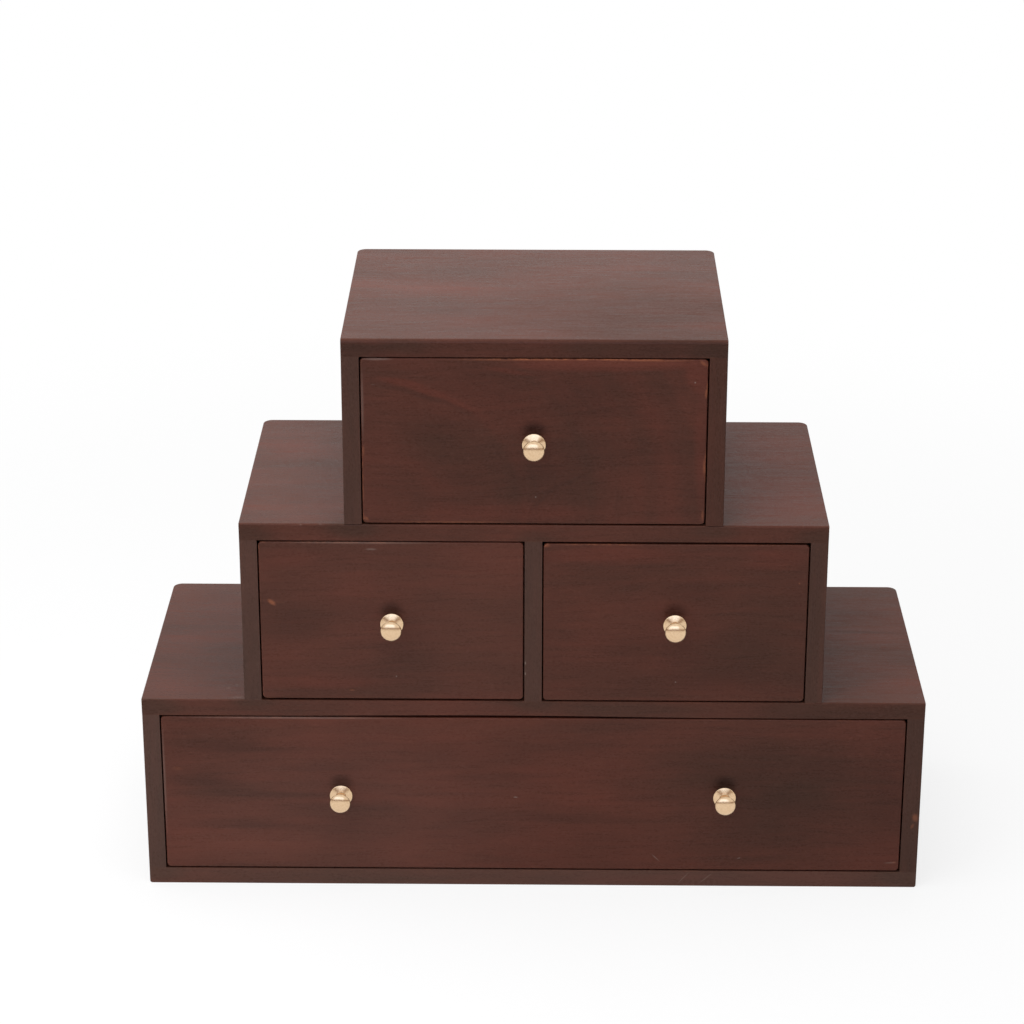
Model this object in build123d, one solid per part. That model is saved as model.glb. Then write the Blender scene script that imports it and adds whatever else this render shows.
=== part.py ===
from build123d import *
import os

# Overall size in millimetres: sixteen inches wide, six deep, twelve high
chest_width = 406.4
chest_depth = 152.4
chest_height = 304.8

# Carcass boards: each tier steps in by the same amount at both sides
tier_names = ("lower", "middle", "upper")
step_in = 53.6
board_thickness = 9.0
rear_corner_radius = 5.0
base_chamfer = 1.2
arris = 0.5

# Stopped tongues on the ends of the uprights, glued into grooves in the boards
tongue_thickness = 3.0
tongue_length = 4.0
tongue_stop = 14.0
tongue_clearance = 0.1

# Thin back panels, held in grooves in the sides
panel_thickness = 4.0
panel_inset = 8.0
panel_groove_depth = 4.0
panel_clearance = 0.1

# Drawers: inset fronts, lapped sides, bottoms in grooves
front_gap = 0.6
front_thickness = 9.0
front_lip = 4.0
front_corner_radius = 2.2
front_easing = 0.9
wall_thickness = 7.0
wall_headroom = 4.0
back_wall_drop = 5.0
bottom_thickness = 4.0
bottom_height = 5.0
bottom_groove_depth = 3.0
bottom_clearance = 0.1
drawer_rear_gap = 0.8

# Turned knobs, set a little below the middle of each front
lower_knob_spacing = 201.0
knob_drop = 1.3
flange_diameter = 12.0
flange_edge = 0.9
flange_slope = 1.0
flare_diameter = 8.4
waist_diameter = 5.4
waist_height = 5.6
head_diameter = 11.0
head_band_start = 8.8
head_band_end = 9.8
face_diameter = 7.6
knob_projection = 12.0

# Screws that hold the knobs from inside the drawers
screw_diameter = 3.0
screw_grip = 6.0
screw_tip_room = 1.0
screw_clearance = 0.1
screw_hole_diameter = 3.6
screw_head_diameter = 5.6
screw_head_height = 2.2
screw_slot_width = 0.9
screw_slot_depth = 1.1

# Length by which a cutting shape runs past the faces that it opens
overrun = 1.0

# Places that follow from the sizes: X to the right, Y to the back, Z up
tier_count = len(tier_names)
opening_height = (chest_height - (tier_count + 1) * board_thickness) / tier_count
tier_pitch = opening_height + board_thickness
tier_widths = [chest_width - 2 * step_in * tier for tier in range(tier_count)]
tier_floors = [board_thickness + tier_pitch * tier for tier in range(tier_count)]
front_y = -chest_depth / 2
back_y = chest_depth / 2
panel_y = back_y - panel_inset - panel_thickness
tongue_y = (front_y + tongue_stop, panel_y - tongue_stop)
drawer_rear_y = panel_y - drawer_rear_gap
inside_y = front_y + front_thickness
divider_half = board_thickness / 2


def block(x_limits, y_limits, z_limits):
    """Square-edged block between three pairs of limits."""
    lows, highs = zip(x_limits, y_limits, z_limits)
    sizes = [high - low for low, high in zip(lows, highs)]
    return Pos(*lows) * Box(*sizes, align=Align.MIN)


def widened(limits, margin):
    """Pair of limits moved apart by a margin at both ends."""
    low, high = limits
    return low - margin, high + margin


def side_center(tier):
    """Middle of the thickness of a tier's right side."""
    return (tier_widths[tier] - board_thickness) / 2


def tier_opening(tier):
    """Left limit, right limit and floor of the opening between a tier's sides."""
    reach = tier_widths[tier] / 2 - board_thickness
    return -reach, reach, tier_floors[tier]


def upright_centers(tier):
    """Middles of all uprights of a tier."""
    center = side_center(tier)
    return (-center, 0, center) if tier_names[tier] == "middle" else (-center, center)


# Horizontal boards, grooved for the uprights that stand on them and under them
def groove_row(centers, z_limits):
    """Stopped grooves, one over each upright."""
    half = tongue_thickness / 2
    y_limits = widened(tongue_y, tongue_clearance)
    return [block(widened((x - half, x + half), tongue_clearance), y_limits, z_limits) for x in centers]


def cross_board(width, underside, centers_below, centers_above):
    """Board over the full depth, rounded at the rear corners."""
    plan = Rectangle(width, chest_depth)
    plan = fillet(plan.vertices().group_by(Axis.Y)[-1], rear_corner_radius)
    plan = chamfer(plan.vertices().group_by(Axis.Y)[0], arris)
    board = Pos(0, 0, underside) * extrude(plan, amount=board_thickness)
    top = underside + board_thickness
    depth = tongue_length + tongue_clearance
    board -= groove_row(centers_below, (underside - overrun, underside + depth))
    board -= groove_row(centers_above, (top - depth, top + overrun))
    return board


def base_board():
    """Lowest board, with its lower edges eased at both ends."""
    board = cross_board(tier_widths[0], 0, (), upright_centers(0))
    end_edges = board.faces().sort_by(Axis.Z)[0].edges().filter_by(Axis.Y)
    return chamfer(end_edges, base_chamfer)


def top_of_tier(tier):
    """Board that lies on a tier and carries the next one."""
    above = upright_centers(tier + 1) if tier + 1 < tier_count else ()
    board = cross_board(tier_widths[tier], tier_floors[tier] + opening_height, upright_centers(tier), above)
    rim = board.faces().sort_by(Axis.Z)[-1].outer_wire().edges()
    return chamfer(rim, arris)


# Uprights, with a tongue at both ends
def with_tongues(upright, center, floor):
    """Upright joined with the tongues on its lower and upper end."""
    half = tongue_thickness / 2
    tongue_z = widened((floor, floor + opening_height), tongue_length)
    return upright + block((center - half, center + half), tongue_y, tongue_z)


def right_side(tier):
    """Side of a tier, rounded at the outer rear edge and grooved inside for the back panel."""
    center = side_center(tier)
    floor = tier_floors[tier]
    plan = Pos(center, 0) * Rectangle(board_thickness, chest_depth)
    plan = fillet(plan.vertices().group_by(Axis.Y)[-1].sort_by(Axis.X)[-1], rear_corner_radius)
    plan = chamfer(plan.vertices().group_by(Axis.Y)[0].sort_by(Axis.X)[-1], arris)
    side = with_tongues(Pos(0, 0, floor) * extrude(plan, amount=opening_height), center, floor)
    inner = center - board_thickness / 2
    groove_y = widened((panel_y, panel_y + panel_thickness), panel_clearance)
    groove_height = widened((floor, floor + opening_height), overrun)
    return side - block((inner - overrun, inner + panel_groove_depth), groove_y, groove_height)


def middle_divider():
    """Upright between the two middle drawers, ending at the back panel."""
    floor = tier_floors[tier_names.index("middle")]
    upright = block((-divider_half, divider_half), (front_y, panel_y), (floor, floor + opening_height))
    return with_tongues(upright, 0, floor)


def back_panel(tier):
    """Panel between two boards, let into the sides."""
    left, right, floor = tier_opening(tier)
    panel_x = widened((left, right), panel_groove_depth - panel_clearance)
    return block(panel_x, (panel_y, panel_y + panel_thickness), (floor, floor + opening_height))


# Drawers, each made for an opening
def groove_z(floor):
    """Limits in height of the grooves that hold a drawer's bottom."""
    return floor + bottom_height, floor + bottom_height + bottom_thickness + bottom_clearance


def box_limits(opening):
    """Outer limits in X of a drawer, and its limits between the side walls."""
    left, right, floor = opening
    outer = widened((left, right), -front_gap)
    return outer, widened(outer, -wall_thickness)


def drawer_front(opening, knob_xs, knob_z):
    """Inset front with rounded corners, lapped for the side walls and bored for the knob screws."""
    outer, inner = box_limits(opening)
    floor = opening[-1]
    width = outer[1] - outer[0]
    height = opening_height - 2 * front_gap
    face = Plane.XZ * RectangleRounded(width, height, front_corner_radius)
    middle = Pos(sum(outer) / 2, inside_y, floor + opening_height / 2)
    front = middle * extrude(face, amount=front_thickness)
    front = chamfer(front.faces().sort_by(Axis.Y)[0].edges(), front_easing)
    lap_y = (front_y + front_lip, inside_y + overrun)
    lap_z = widened((floor, floor + opening_height), overrun)
    front -= block((outer[0] - overrun, inner[0]), lap_y, lap_z)
    front -= block((inner[1], outer[1] + overrun), lap_y, lap_z)
    front -= block(outer, (inside_y - bottom_groove_depth, inside_y + overrun), groove_z(floor))
    bore = Rot(90, 0, 0) * Cylinder(screw_hole_diameter / 2, front_thickness + 2 * overrun)
    return front - [Pos(x, inside_y - front_thickness / 2, knob_z) * bore for x in knob_xs]


def side_wall(opening, outer_x, inner_x):
    """Side wall of a drawer, standing on the board below and grooved for the bottom."""
    floor = opening[-1]
    inward = 1 if inner_x > outer_x else -1
    wall_z = (floor, floor + opening_height - wall_headroom)
    wall = block(sorted((outer_x, inner_x)), (front_y + front_lip, drawer_rear_y), wall_z)
    groove_x = sorted((inner_x - inward * bottom_groove_depth, inner_x + inward * overrun))
    return wall - block(groove_x, widened((front_y, drawer_rear_y), overrun), groove_z(floor))


def back_wall(opening):
    """Rear wall of a drawer, between the side walls and on the bottom."""
    inner = box_limits(opening)[1]
    floor = opening[-1]
    foot = floor + bottom_height + bottom_thickness
    top = floor + opening_height - wall_headroom - back_wall_drop
    return block(inner, (drawer_rear_y - wall_thickness, drawer_rear_y), (foot, top))


def drawer_bottom(opening):
    """Thin bottom, slid into the grooves from behind."""
    inner = box_limits(opening)[1]
    foot = opening[-1] + bottom_height
    reach = bottom_groove_depth - bottom_clearance
    return block(widened(inner, reach), (inside_y - reach, drawer_rear_y), (foot, foot + bottom_thickness))


# Knobs and screws, made standing on end and laid forward on the drawer fronts
on_end = (Align.CENTER, Align.CENTER, Align.MIN)


def turned_knob():
    """Knob turned from straight tapers, with a blind hole for the screw."""
    outline = Polyline(
        (0, 0),
        (flange_diameter / 2, 0),
        (flange_diameter / 2, flange_edge),
        (flare_diameter / 2, flange_edge + flange_slope),
        (waist_diameter / 2, waist_height),
        (head_diameter / 2, head_band_start),
        (head_diameter / 2, head_band_end),
        (face_diameter / 2, knob_projection),
        (0, knob_projection),
        close=True,
    )
    knob = revolve(Plane.XZ * make_face(outline), axis=Axis.Z)
    hole_radius = (screw_diameter + screw_clearance) / 2
    return knob - Cylinder(hole_radius, screw_grip + screw_tip_room, align=on_end)


def knob_screw():
    """Slotted screw whose head bears on the inside of the drawer front."""
    shank = Cylinder(screw_diameter / 2, front_thickness + screw_grip, align=on_end)
    head = Cylinder(screw_head_diameter / 2, screw_head_height, align=on_end)
    slot = Box(screw_head_diameter + overrun, screw_slot_width, screw_slot_depth, align=on_end)
    return shank + Pos(0, 0, -screw_head_height) * (head - slot)


def laid_forward(shape, xs, y, z):
    """Copies of a shape, one at each X, with the upward axis turned to the front of the chest."""
    return Compound([Pos(x, y, z) * Rot(90, 0, 0) * shape for x in xs])


# All pieces by name: the carcass first, then each drawer with its knobs
parts = {"base_board": base_board()}
for tier, name in enumerate(tier_names):
    parts[f"{name}_right_side"] = right_side(tier)
    parts[f"{name}_left_side"] = mirror(right_side(tier), about=Plane.YZ)
    parts[f"{name}_back_panel"] = back_panel(tier)
    parts["top_board" if tier + 1 == tier_count else f"{name}_top_board"] = top_of_tier(tier)
parts["middle_divider"] = middle_divider()

lower, middle, upper = (tier_opening(tier) for tier in range(tier_count))
openings = {
    "lower": lower,
    "middle_left": (middle[0], -divider_half, middle[-1]),
    "middle_right": (divider_half, middle[1], middle[-1]),
    "upper": upper,
}
knob_spacings = {"lower": (-lower_knob_spacing, lower_knob_spacing)}
for name, opening in openings.items():
    left, right, floor = opening
    knob_z = floor + opening_height / 2 - knob_drop
    knob_xs = [(left + right + spacing) / 2 for spacing in knob_spacings.get(name, (0,))]
    plural = "s" if len(knob_xs) > 1 else ""
    outer, inner = box_limits(opening)
    parts[f"{name}_drawer_front"] = drawer_front(opening, knob_xs, knob_z)
    parts[f"{name}_drawer_left_wall"] = side_wall(opening, outer[0], inner[0])
    parts[f"{name}_drawer_right_wall"] = side_wall(opening, outer[1], inner[1])
    parts[f"{name}_drawer_back_wall"] = back_wall(opening)
    parts[f"{name}_drawer_bottom"] = drawer_bottom(opening)
    parts[f"{name}_knob{plural}"] = laid_forward(turned_knob(), knob_xs, front_y, knob_z)
    parts[f"{name}_knob_screw{plural}"] = laid_forward(knob_screw(), knob_xs, inside_y, knob_z)

os.makedirs("parts", exist_ok=True)
for name, part in parts.items():
    export_step(part, f"parts/{name}.step")
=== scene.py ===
import math

import bmesh
import bpy
from mathutils import Matrix, Vector, geometry


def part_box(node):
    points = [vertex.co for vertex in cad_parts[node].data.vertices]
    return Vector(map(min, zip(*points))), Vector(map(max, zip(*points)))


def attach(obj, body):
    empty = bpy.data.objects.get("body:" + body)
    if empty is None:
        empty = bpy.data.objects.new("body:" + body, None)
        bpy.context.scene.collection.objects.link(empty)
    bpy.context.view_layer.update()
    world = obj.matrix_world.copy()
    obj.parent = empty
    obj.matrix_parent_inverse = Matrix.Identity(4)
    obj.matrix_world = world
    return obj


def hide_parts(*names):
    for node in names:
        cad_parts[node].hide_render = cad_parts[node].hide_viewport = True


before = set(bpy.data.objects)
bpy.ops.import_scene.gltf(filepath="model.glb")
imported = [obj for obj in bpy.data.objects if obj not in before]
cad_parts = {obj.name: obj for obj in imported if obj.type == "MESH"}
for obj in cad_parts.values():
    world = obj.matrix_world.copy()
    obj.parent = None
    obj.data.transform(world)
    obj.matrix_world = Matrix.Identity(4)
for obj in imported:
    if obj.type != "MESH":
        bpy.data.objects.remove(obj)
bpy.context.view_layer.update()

# The base board: a plank over the full width and depth, of close-grained hardwood, stained dark
# red-brown and rubbed to a satin. It is rounded in plan at the rear corners, and its lower rim is
# eased at both ends and behind so that it doesn't scrape the table.
mm = 0.001
to_mm = (1 / mm,) * 3
same_place = 0.01 * mm
true_to_axis = 0.99
sharp_angle = math.radians(50)
rear_corner, corner_steps = 5.0 * mm, 10
base_easing, easing_steps = 1.5 * mm, 6
soft_arris, arris_steps = 0.5 * mm, 4
stain_red = (0.106, 0.0285, 0.0175, 1)
stain_olive = (0.060, 0.0238, 0.0148, 1)
stain_black = (0.022, 0.0105, 0.0065, 1)
rubbed_bare = (0.32, 0.105, 0.048, 1)
# A pale neutral for chalky specks, also used as a painted sheen and painted highlights on rounded edges
chalk_pale = (0.46, 0.38, 0.33, 1)
polish = 0.12
mark_depth, mark_core = 3.0, 0.8

# Layers of the grain, each with its length and width in millimetres and its detail, then the drift
# that bends them, the growth rings, and how far a seed moves it all
blotch_grain = (75, 30, 2.0)
streak_grain = (42, 2.2, 3.0)
fibre_grain = (13, 0.7, 2.5)
pore_grain = (4.5, 0.28, 1.0)
fleck_grain = (1.6, 0.8, 2.0)
drift_scale, drift_detail, drift_reach = (0.007, 0.02, 0.02), 2.0, 16.0
plain_ring_scale, ring_detail = 0.2, 2.0
out_of_true = [math.radians(angle) for angle in (0.9, 0.7, -0.8)]
seed_shift = Vector((137.0, 61.0, 89.0))
pith_place, pith_shift = Vector((0, 30, 22)), Vector((0, 9, 0))

# How far the layers move the tone between olive and red, the shade, the gloss and the relief
blotch_tone, streak_tone, ring_tone, arch_tone = 0.8, 0.3, 0.25, 0.7
olive_end, red_end = -0.1, 1.1
blotch_shade, streak_shade, fibre_shade, pore_shade, fleck_shade = 0.34, 0.2, 0.22, -0.08, 0.3
satin, streak_gloss, fibre_gloss, fleck_gloss = 0.34, 0.25, 0.35, 0.45
pore_band = (0.16, 0.24)
fleck_band, fleck_chalk = (0.0, 0.25), 0.014
pore_relief, relief_strength, relief_depth = -0.6, 0.5, 0.06 * mm

# Rubbed edges come in patches, broken up, within a millimetre of an arris
patch_scale, patch_detail, patch_roughness, patch_band = 0.045, 4.0, 0.65, (0.5, 0.72)
break_scale, break_detail, break_roughness, break_band = 0.22, 3.0, 0.7, (0.38, 0.62)
arris_band = (1.0, 0.2)


def sawn_board(low, high):
    """A board with square edges between two corners."""
    board = bmesh.new()
    bmesh.ops.create_cube(board, size=1)
    bmesh.ops.scale(board, vec=high - low, verts=board.verts)
    bmesh.ops.translate(board, vec=(low + high) / 2, verts=board.verts)
    return board


def edges_where(shape, holds, along=None):
    """Sharp edges for which a test holds at both ends, or only those of them along one axis."""
    sharp = [e for e in shape.edges if len(e.link_faces) == 2 and e.calc_face_angle() > sharp_angle]
    found = [e for e in sharp if all(holds(v.co) for v in e.verts)]
    if along is None:
        return found
    axis = "XYZ".index(along)
    return [e for e in found if abs((e.verts[0].co - e.verts[1].co).normalized()[axis]) > true_to_axis]


def round_over(shape, edges, radius, steps):
    """Takes the corner off some edges."""
    bmesh.ops.bevel(shape, geom=edges, offset=radius, offset_type="OFFSET", segments=steps, profile=0.5,
                    affect="EDGES", material=-1, clamp_overlap=False)


def near(a, b):
    """Whether two lengths are the same but for rounding."""
    return abs(a - b) < same_place


def node(tree, kind, feeds, **options):
    """Adds a shader node, sets its options, and feeds its inputs with values or from other nodes."""
    made = tree.nodes.new("ShaderNode" + kind)
    for option, value in options.items():
        setattr(made, option, value)
    for place, value in feeds.items():
        if isinstance(value, bpy.types.NodeSocket):
            tree.links.new(value, made.inputs[place])
        else:
            made.inputs[place].default_value = value
    return made.outputs[0]


def new_material(name):
    """A new material and its tree of nodes."""
    material = bpy.data.materials.new(name)
    material.use_nodes = True
    return material, material.node_tree


def own_place(tree):
    """A place in the piece's own frame, in metres."""
    return node(tree, "TexCoord", {}).node.outputs["Object"]


def calc(tree, operation, *values):
    """A sum on one to three numbers."""
    return node(tree, "Math", dict(enumerate(values)), operation=operation)


def blend(tree, share, first, second):
    """A colour between two others, by the sockets that a Mix node has for colours."""
    feeds = {0: share, 6: first, 7: second}
    return node(tree, "Mix", feeds, data_type="RGBA").node.outputs[2]


def ramp(tree, value, start, end, low=0.0, high=1.0):
    """Eases a number from low to high as it goes from start to end."""
    feeds = {0: value, 1: start, 2: end, 3: low, 4: high}
    return node(tree, "MapRange", feeds, interpolation_type="SMOOTHSTEP")


def stretched_noise(tree, place, length, width, detail):
    """Noise drawn out along the grain, from -0.5 to 0.5."""
    drawn = node(tree, "Mapping", {"Vector": place, "Scale": (1 / length, 1 / width, 1 / width)})
    noise = node(tree, "TexNoise", {"Vector": drawn, "Scale": 1.0, "Detail": detail})
    return calc(tree, "SUBTRACT", noise, 0.5)


def marked(tree, place, half, marks, on_top):
    """How far some marks cover a place: each is (across, up, half length, half height, tilt, strength)."""
    total = 0.0
    for across, up, half_length, half_height, tilt, strength in marks:
        turn = math.radians(tilt)
        if on_top:
            at, size, turned = (across, up, half.z), (half_length, half_height, mark_depth), (0, 0, turn)
        else:
            at, size, turned = (across, -half.y, up), (half_length, mark_depth, half_height), (0, -turn, 0)
        spot = node(tree, "Mapping", {"Vector": place, "Location": at, "Rotation": turned, "Scale": size},
                    vector_type="TEXTURE")
        nearness = node(tree, "TexGradient", {"Vector": spot}, gradient_type="SPHERICAL").node.outputs[1]
        total = calc(tree, "MULTIPLY_ADD", ramp(tree, nearness, 0.0, mark_core), strength, total)
    return total


def stained_wood(name, low, high, grain, seed, redness, rub, arch=None, **marks):
    """Stained board: streaks along the grain, pores, flecks, rubbed edges, and marks on its front or top."""
    material, tree = new_material(name)
    half = (high - low) / 2 / mm
    middle = (low + high) / 2 / mm
    place = node(tree, "Mapping", {"Vector": own_place(tree), "Location": -middle, "Scale": to_mm})

    def cover(kind):
        """Cover of one kind of mark, on the front or on the top."""
        front = marked(tree, place, half, marks.get(kind, ()), on_top=False)
        top = marked(tree, place, half, marks.get("top_" + kind, ()), on_top=True)
        return calc(tree, "ADD", front, top)

    # Grain runs along X here, a little out of true and bent by slow drifts
    upright = math.radians(90) if grain == "Z" else 0.0
    turned = (out_of_true[0], upright + out_of_true[1], out_of_true[2])
    along = node(tree, "Mapping", {"Vector": place, "Rotation": turned, "Location": seed_shift * seed})
    slow = node(tree, "Mapping", {"Vector": along, "Scale": drift_scale})
    drift = node(tree, "TexNoise", {"Vector": slow, "Scale": 1.0, "Detail": drift_detail})
    offset = node(tree, "VectorMath", {0: drift.node.outputs["Color"], 1: (-0.5,) * 3}, operation="ADD")
    bent = node(tree, "VectorMath", {0: offset, 1: (drift_reach,) * 3, 2: along}, operation="MULTIPLY_ADD")
    blotch = stretched_noise(tree, bent, *blotch_grain)
    streak = stretched_noise(tree, bent, *streak_grain)
    fibre = stretched_noise(tree, bent, *fibre_grain)
    open_pore = ramp(tree, stretched_noise(tree, bent, *pore_grain), *pore_band)
    fleck = stretched_noise(tree, bent, *fleck_grain)

    # Growth rings, about a pith that lies along the grain or, where they arch, about a point of the face
    if arch:
        across, up, wide, ring_scale = arch
        figure = arch_tone
        pith = node(tree, "VectorMath", {0: place, 1: (1 / wide, 0, 1), 2: (-across / wide, 0, -up)},
                    operation="MULTIPLY_ADD")
    else:
        ring_scale, figure = plain_ring_scale, ring_tone
        pith = node(tree, "VectorMath", {0: bent, 1: (0, 1, 1), 2: pith_place + pith_shift * seed},
                    operation="MULTIPLY_ADD")
    radius = node(tree, "VectorMath", {0: pith}, operation="LENGTH").node.outputs["Value"]
    ring = node(tree, "TexNoise", {"W": radius, "Scale": ring_scale, "Detail": ring_detail},
                noise_dimensions="1D")

    tone = calc(tree, "MULTIPLY_ADD", ring, figure, redness - figure / 2)
    tone = calc(tree, "MULTIPLY_ADD", blotch, blotch_tone, tone)
    tone = calc(tree, "MULTIPLY_ADD", streak, streak_tone, tone)
    tone = calc(tree, "ADD", tone, cover("red"))
    tone = calc(tree, "SUBTRACT", tone, cover("olive"))
    colour = blend(tree, ramp(tree, tone, olive_end, red_end), stain_olive, stain_red)
    colour = blend(tree, cover("dark"), colour, stain_black)
    shade = calc(tree, "MULTIPLY_ADD", blotch, blotch_shade, 1.0)
    shade = calc(tree, "MULTIPLY_ADD", streak, streak_shade, shade)
    shade = calc(tree, "MULTIPLY_ADD", fibre, fibre_shade, shade)
    shade = calc(tree, "MULTIPLY_ADD", open_pore, pore_shade, shade)
    shade = calc(tree, "MULTIPLY_ADD", fleck, fleck_shade, shade)
    # Light marks are painted light and shade: they lighten or darken the stain where more or less light
    # falls
    shade = calc(tree, "ADD", shade, cover("light"))
    colour = node(tree, "VectorMath", {0: colour, 1: shade}, operation="MULTIPLY")

    # Nearness to an arris is the second least distance to a face
    inset = node(tree, "VectorMath", {0: place}, operation="ABSOLUTE")
    inset = node(tree, "VectorMath", {0: half, 1: inset}, operation="SUBTRACT")
    sides = node(tree, "SeparateXYZ", {0: inset}).node.outputs
    inner = calc(tree, "MINIMUM", calc(tree, "MAXIMUM", sides[0], sides[1]), sides[2])
    from_arris = calc(tree, "MAXIMUM", calc(tree, "MINIMUM", sides[0], sides[1]), inner)
    patch = node(tree, "TexNoise", {"Vector": place, "Scale": patch_scale, "Detail": patch_detail,
                                    "Roughness": patch_roughness})
    rubbing = calc(tree, "ADD", cover("rubbed"), ramp(tree, patch, *patch_band, 0.0, rub))
    broken = node(tree, "TexNoise", {"Vector": place, "Scale": break_scale, "Detail": break_detail,
                                     "Roughness": break_roughness})
    rubbing = calc(tree, "MULTIPLY", rubbing, ramp(tree, broken, *break_band))
    worn = calc(tree, "MULTIPLY", rubbing, ramp(tree, from_arris, *arris_band))
    colour = blend(tree, calc(tree, "ADD", worn, cover("bare")), colour, rubbed_bare)
    # Chalk marks are pale specks where small, and a painted sheen or painted highlights where broad or along
    # an edge
    chalky = calc(tree, "ADD", cover("chalk"), ramp(tree, fleck, *fleck_band, 0.0, fleck_chalk))
    colour = blend(tree, chalky, colour, chalk_pale)

    gloss = calc(tree, "MULTIPLY_ADD", streak, streak_gloss, satin)
    gloss = calc(tree, "MULTIPLY_ADD", fibre, fibre_gloss, gloss)
    gloss = calc(tree, "MULTIPLY_ADD", fleck, fleck_gloss, gloss)
    gloss = calc(tree, "ADD", gloss, cover("dull"))
    height = calc(tree, "MULTIPLY_ADD", open_pore, pore_relief, fibre)
    relief = node(tree, "Bump", {"Strength": relief_strength, "Distance": relief_depth, "Height": height})
    shader = tree.nodes["Principled BSDF"]
    shader.inputs["Specular IOR Level"].default_value = polish
    tree.links.new(colour, shader.inputs["Base Color"])
    tree.links.new(gloss, shader.inputs["Roughness"])
    tree.links.new(relief, shader.inputs["Normal"])
    return material


def finished(shape, name, body, slot, material, *nodes):
    """Makes a shape a piece of the chest that stands for its solids and rides on their body."""
    bmesh.ops.recalc_face_normals(shape, faces=shape.faces)
    mesh = bpy.data.meshes.new(name)
    shape.to_mesh(mesh)
    shape.free()
    mesh.shade_smooth()
    mesh.set_sharp_from_angle(angle=sharp_angle)
    mesh.materials.append(material)
    piece = bpy.data.objects.new(name, mesh)
    bpy.context.scene.collection.objects.link(piece)
    piece.modifiers.new("even_normals", "WEIGHTED_NORMAL").keep_sharp = True
    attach(piece, body)
    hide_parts(*nodes)


low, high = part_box("base_board")
board = sawn_board(low, high)
round_over(board, edges_where(board, lambda p: near(p.y, high.y), "Z"), rear_corner, corner_steps)
lower_rim = edges_where(board, lambda p: near(p.z, low.z))
ends_and_rear = [e for e in lower_rim if any(v.co.y > low.y + rear_corner for v in e.verts)]
round_over(board, ends_and_rear, base_easing, easing_steps)
front_edge = edges_where(board, lambda p: near(p.y, low.y) and near(p.z, low.z))
front_corners = edges_where(board, lambda p: near(p.y, low.y), "Z")
round_over(board, front_corners + front_edge, soft_arris, arris_steps)
wood = stained_wood(
    "base_stained", low, high, grain="X", seed=1, redness=0.4, rub=0.15,
    # The light mark is painted light along the front edge and the broad chalk mark a painted sheen; the two
    # short chalk lines are thin pale marks
    light=[(0, 0, 420, 12, 0, 0.15)],
    olive=[(-199, 2, 22, 8, 0, 0.5), (-90, 0, 60, 8, 0, 0.25), (199, 2, 22, 8, 0, 0.5)],
    chalk=[(0, 0, 420, 40, 0, 0.045), (80, 0.3, 6.0, 0.4, 48, 0.14), (92, 0.3, 6.0, 0.4, 42, 0.14)],
)
finished(board, "base_board_stained", "carcass", "stained_wood", wood, "base_board")

# The uprights: two sides to a tier, of the same stained hardwood with the grain standing. They butt
# between the boards on glued tongues, and a groove inside each rear edge takes the back panel.
tight_arris, tight_steps = 0.2 * mm, 2
upright_seeds, left_seed = {"lower": 2, "middle": 3, "upper": 4}, 0.4
boards_around = {
    "lower": ("base_board", "lower_top_board"),
    "middle": ("lower_top_board", "middle_top_board"),
    "upper": ("middle_top_board", "top_board"),
}
upright_redness, upright_rub = 0.1, 0.05
whole_upright = (0, 0, 40, 160, 0)
upright_chips = {("lower", "right"): [(2.2, -12.5, 2.2, 3.4, 10, 0.4), (1.0, -17.5, 1.2, 2.4, -25, 0.25)]}

# Painted sheen, a pale wash stronger on the left where more light falls, and painted shade, of the left and
# the right upright of each tier
upright_painted_sheen = {"lower": (0.044, 0.014), "middle": (0.034, 0.016), "upper": (0.018, 0.0)}
upright_shade = {"lower": (-0.1, -0.1), "middle": (-0.12, -0.04), "upper": (-0.1, -0.12)}


def drawn_out(outline, travel):
    """A solid from a flat outline and the way that it is drawn out."""
    shape = bmesh.new()
    face = shape.faces.new([shape.verts.new(corner) for corner in outline])
    made = bmesh.ops.extrude_face_region(shape, geom=[face])["geom"]
    bmesh.ops.translate(shape, vec=travel, verts=[v for v in made if isinstance(v, bmesh.types.BMVert)])
    bmesh.ops.recalc_face_normals(shape, faces=shape.faces)
    return shape


for tier, (below, above) in boards_around.items():
    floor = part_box(below)[1].z
    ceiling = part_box(above)[0].z
    panel_low, panel_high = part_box(f"{tier}_back_panel")
    for side in ("left", "right"):
        low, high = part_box(f"{tier}_{side}_side")
        low.z, high.z = floor, ceiling
        outer, inner = (low.x, high.x) if side == "left" else (high.x, low.x)
        groove = panel_low.x if side == "left" else panel_high.x
        plan = [(outer, low.y), (outer, high.y), (inner, high.y), (inner, panel_high.y),
                (groove, panel_high.y), (groove, panel_low.y), (inner, panel_low.y), (inner, low.y)]
        upright = drawn_out([(x, y, floor) for x, y in plan], (0, 0, ceiling - floor))
        rounding = [(outer, high.y, rear_corner, corner_steps), (outer, low.y, soft_arris, arris_steps),
                    (inner, low.y, tight_arris, tight_steps)]
        for x, y, radius, steps in rounding:
            round_over(upright, edges_where(upright, lambda p: near(p.x, x) and near(p.y, y)), radius, steps)
        wood = stained_wood(
            f"{tier}_{side}_stained", low, high, grain="Z",
            seed=upright_seeds[tier] + (left_seed if side == "left" else 0.0),
            redness=upright_redness, rub=upright_rub,
            bare=upright_chips.get((tier, side), ()),
            chalk=[(*whole_upright, upright_painted_sheen[tier][side == "right"])],
            light=[(*whole_upright, upright_shade[tier][side == "right"])],
        )
        node_name = f"{tier}_{side}_side"
        finished(upright, f"{node_name}_stained", "carcass", "stained_wood", wood, node_name)
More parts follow.
